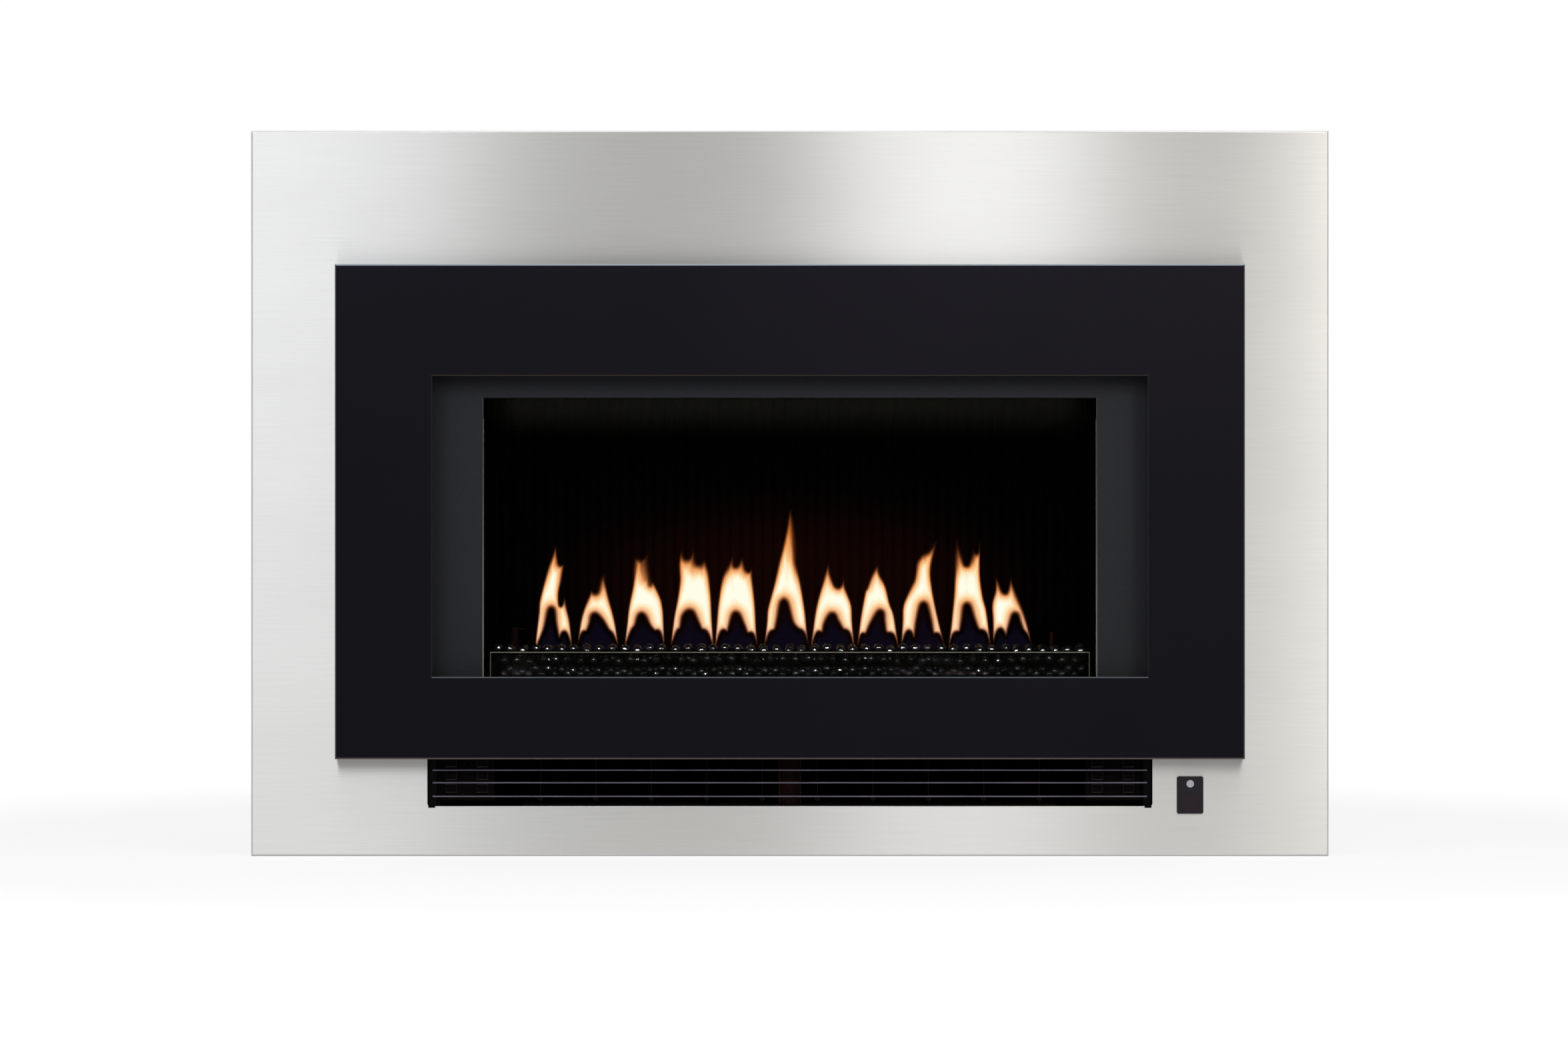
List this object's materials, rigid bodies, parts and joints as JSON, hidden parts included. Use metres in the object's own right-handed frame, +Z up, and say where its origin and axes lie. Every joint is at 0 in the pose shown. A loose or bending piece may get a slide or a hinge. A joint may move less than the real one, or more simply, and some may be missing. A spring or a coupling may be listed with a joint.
{
  "type": "gas fireplace insert",
  "caption": "Inbuilt gas fire with a four-sided brushed steel surround, a lift-off black door round the glass, a black pebble bed, and a louvred warm-air outlet.",
  "frame": {"origin": "on the floor, in the middle of the width and of the overall depth", "axes": "+Z up, the front faces -Y, +X to the right of somebody who looks at the front"},
  "size_m": [1.1, 0.457, 0.741],
  "materials": {
    "brushed_steel_surround": "brushed",
    "satin_black_door": "satin",
    "charcoal_frame": "satin",
    "galvanised_sheet": "galvanised",
    "black_enamel": "matt",
    "stainless": "satin",
    "zinc_steel": "zinc plated",
    "ceramic_glass": "polished",
    "clear_glass": "polished",
    "black_glass": "polished",
    "woven_gasket": "woven",
    "ceramic_white": "unglazed",
    "aluminium_cast": "cast",
    "copper_pipe": "drawn",
    "brass": "machined",
    "red_brown_sheet": "satin",
    "dark_plastic": "moulded",
    "pad_plastic": "moulded",
    "ir_plastic": "moulded",
    "button_silver": "metallic",
    "board_green": "laminate"
  },
  "bodies": {
    "casing": {"fascia": "brushed_steel_surround", "door_catches": "zinc_steel", "mounting_frame": "black_enamel", "front_screws": "zinc_steel", "casing_base": "galvanised_sheet", "casing_left": "galvanised_sheet", "casing_right": "galvanised_sheet", "casing_top": "galvanised_sheet", "casing_back": "galvanised_sheet", "levelling_feet": "zinc_steel", "window_frame": "charcoal_frame", "window_glass": "ceramic_glass", "glass_gasket": "woven_gasket", "firebox_front": "black_enamel", "firebox_floor": "black_enamel", "firebox_legs": "black_enamel", "firebox_left": "black_enamel", "firebox_right": "black_enamel", "firebox_top": "black_enamel", "firebox_back": "black_enamel", "rear_liner": "black_enamel", "side_liner_left": "black_glass", "side_liner_right": "black_glass", "liner_trims": "stainless", "heat_exchanger": "stainless", "burner": "stainless", "burner_tray": "black_enamel", "glass_fence": "clear_glass", "glass_pebbles": "black_glass", "spark_electrode": "ceramic_white", "flame_sensor": "stainless", "gas_valve": "aluminium_cast", "gas_supply_pipe": "copper_pipe", "gas_inlet": "brass", "burner_pipe": "copper_pipe", "gas_injector": "brass", "outlet_grille": "stainless", "duct_floor": "galvanised_sheet", "duct_top": "galvanised_sheet", "guide_vanes": "galvanised_sheet", "outlet_bracket": "red_brown_sheet", "outlet_end_left": "dark_plastic", "outlet_end_right": "dark_plastic", "blower_housing": "galvanised_sheet", "blower_bearing": "brass", "blower_motor": "zinc_steel", "flue_collector": "stainless", "flue_fan_housing": "stainless", "flue_fan_motor": "zinc_steel", "flue_spigot": "stainless", "control_board": "board_green", "board_cover": "galvanised_sheet", "cable_gland": "dark_plastic", "control_pad": "pad_plastic", "ir_window": "ir_plastic"},
    "door": {"door_panel": "satin_black_door", "door_studs": "zinc_steel"},
    "button": {"standby_button": "button_silver"},
    "blower_rotor": {"blower_rotor": "aluminium_cast"},
    "flue_impeller": {"flue_impeller": "stainless"}
  },
  "joints": [
    {"name": "door_pull_off", "type": "slide", "parent": "casing", "child": "door", "axis": [0, -1, 0], "range_m": [0, 0.12]},
    {"name": "button_press", "type": "slide", "parent": "casing", "child": "button", "axis": [0, 1, 0], "range_m": [0, 0.001], "stiffness_N_per_m": 1500, "springref_m": -0.001},
    {"name": "blower_spin", "type": "hinge", "parent": "casing", "child": "blower_rotor", "pos_m": [0, -0.0068, 0.093], "axis": [1, 0, 0], "continuous": true},
    {"name": "flue_fan_spin", "type": "hinge", "parent": "casing", "child": "flue_impeller", "pos_m": [0, -0.0085, 0.6135], "axis": [0, 0, 1], "continuous": true}
  ]
}
